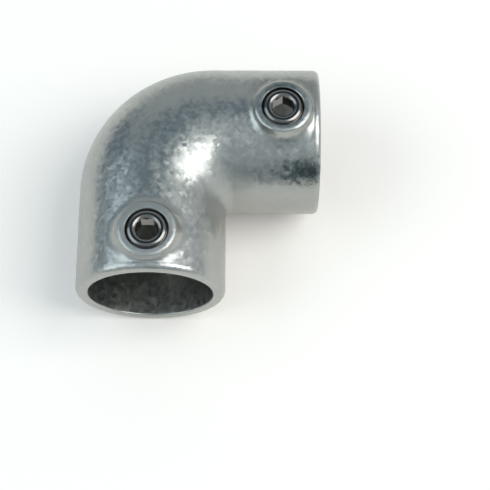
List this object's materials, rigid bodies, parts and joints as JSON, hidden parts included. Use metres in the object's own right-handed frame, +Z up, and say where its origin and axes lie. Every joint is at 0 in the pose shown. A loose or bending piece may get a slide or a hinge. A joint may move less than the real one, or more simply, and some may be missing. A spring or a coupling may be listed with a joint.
{
  "type": "pipe key clamp",
  "caption": "Cast elbow key clamp whose open sockets join pipes at a right angle, each pipe gripped by a hexagon socket set screw in a raised boss.",
  "frame": {"origin": "middle of the part's footprint, on the plane that it lies on", "axes": "+X out of the rail socket, -Y out of the post socket, +Z up along both set screws"},
  "size_m": [0.0966, 0.0966, 0.062],
  "materials": {
    "galvanised_iron": "hot dip galvanised, satin with mottled spangle",
    "plated_steel": "turned, dark and slightly oily, with bright chamfers"
  },
  "bodies": {
    "elbow": {"elbow_casting": "galvanised_iron"},
    "rail_screw": {"rail_set_screw": "plated_steel"},
    "post_screw": {"post_set_screw": "plated_steel"}
  },
  "joints": [
    {"name": "rail_screw_travel", "type": "slide", "parent": "elbow", "child": "rail_screw", "axis": [0, 0, 1], "range_m": [-0.003, 0.0055]},
    {"name": "post_screw_travel", "type": "slide", "parent": "elbow", "child": "post_screw", "axis": [0, 0, 1], "range_m": [-0.003, 0.0055]}
  ]
}
